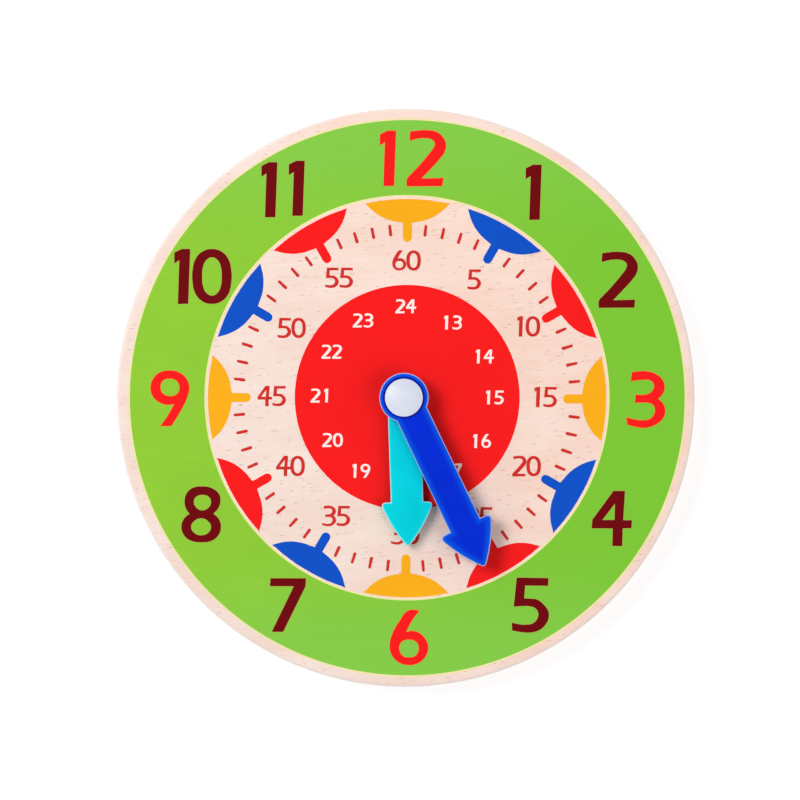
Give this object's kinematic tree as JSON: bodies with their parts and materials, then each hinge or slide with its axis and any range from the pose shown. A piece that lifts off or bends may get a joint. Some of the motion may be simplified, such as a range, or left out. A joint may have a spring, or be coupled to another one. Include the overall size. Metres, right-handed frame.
{
  "type": "geared teaching clock",
  "caption": "Round wooden teaching clock whose blue minute hand drives a turquoise hour hand through a spur gear train hidden in the back.",
  "frame": {"origin": "centre of the board's back face, on the surface that the clock lies on, on the axis of both hands", "axes": "+Z out of the dial towards the reader, +Y towards twelve o'clock, +X towards three o'clock"},
  "size_m": [0.145, 0.145, 0.0179],
  "materials": {
    "board_wood": "clear matt lacquer over pale beech",
    "bush_nylon": "natural nylon, satin",
    "cover_plastic": "fine moulded texture",
    "screw_steel": "zinc plated",
    "shaft_steel": "bright turned",
    "spring_steel": "dark phosphated",
    "fibre_washer": "red vulcanised fibre",
    "spring_bronze": "rolled spring bronze",
    "gear_acetal": "natural acetal, as moulded",
    "tube_brass": "drawn",
    "nut_brass": "machined",
    "minute_hand_plastic": "polished moulding, blue",
    "hour_hand_plastic": "polished moulding, turquoise",
    "cap_plastic": "polished moulding, cool white"
  },
  "bodies": {
    "root": {"dial_board": "board_wood", "dial_bush": "bush_nylon", "rear_bush": "bush_nylon", "back_cover": "cover_plastic", "cover_screws": "screw_steel", "intermediate_pin": "shaft_steel", "intermediate_washers": "fibre_washer", "pin_clip": "spring_steel", "thrust_washer": "fibre_washer", "friction_washer": "spring_bronze"},
    "minute_drive": {"minute_arbor": "shaft_steel", "minute_pinion": "gear_acetal", "minute_hand": "minute_hand_plastic", "hand_nut": "nut_brass", "centre_cap": "cap_plastic"},
    "intermediate_drive": {"intermediate_gear": "gear_acetal"},
    "hour_drive": {"hour_wheel": "gear_acetal", "hour_tube": "tube_brass", "hour_hand": "hour_hand_plastic", "hand_spacer": "bush_nylon"}
  },
  "joints": [
    {"name": "minute_turn", "type": "hinge", "parent": "root", "child": "minute_drive", "pos_m": [0, 0, 0.0152], "axis": [0, 0, -1], "continuous": true},
    {"name": "intermediate_turn", "type": "hinge", "parent": "root", "child": "intermediate_drive", "pos_m": [0.018, 0, 0.0046], "axis": [0, 0, -1], "continuous": true},
    {"name": "hour_turn", "type": "hinge", "parent": "root", "child": "hour_drive", "pos_m": [0, 0, 0.0122], "axis": [0, 0, -1], "continuous": true}
  ],
  "couplings": [
    {"joint": "intermediate_turn", "follows": "minute_turn", "ratio": -0.33333},
    {"joint": "hour_turn", "follows": "minute_turn", "ratio": 0.083333}
  ]
}
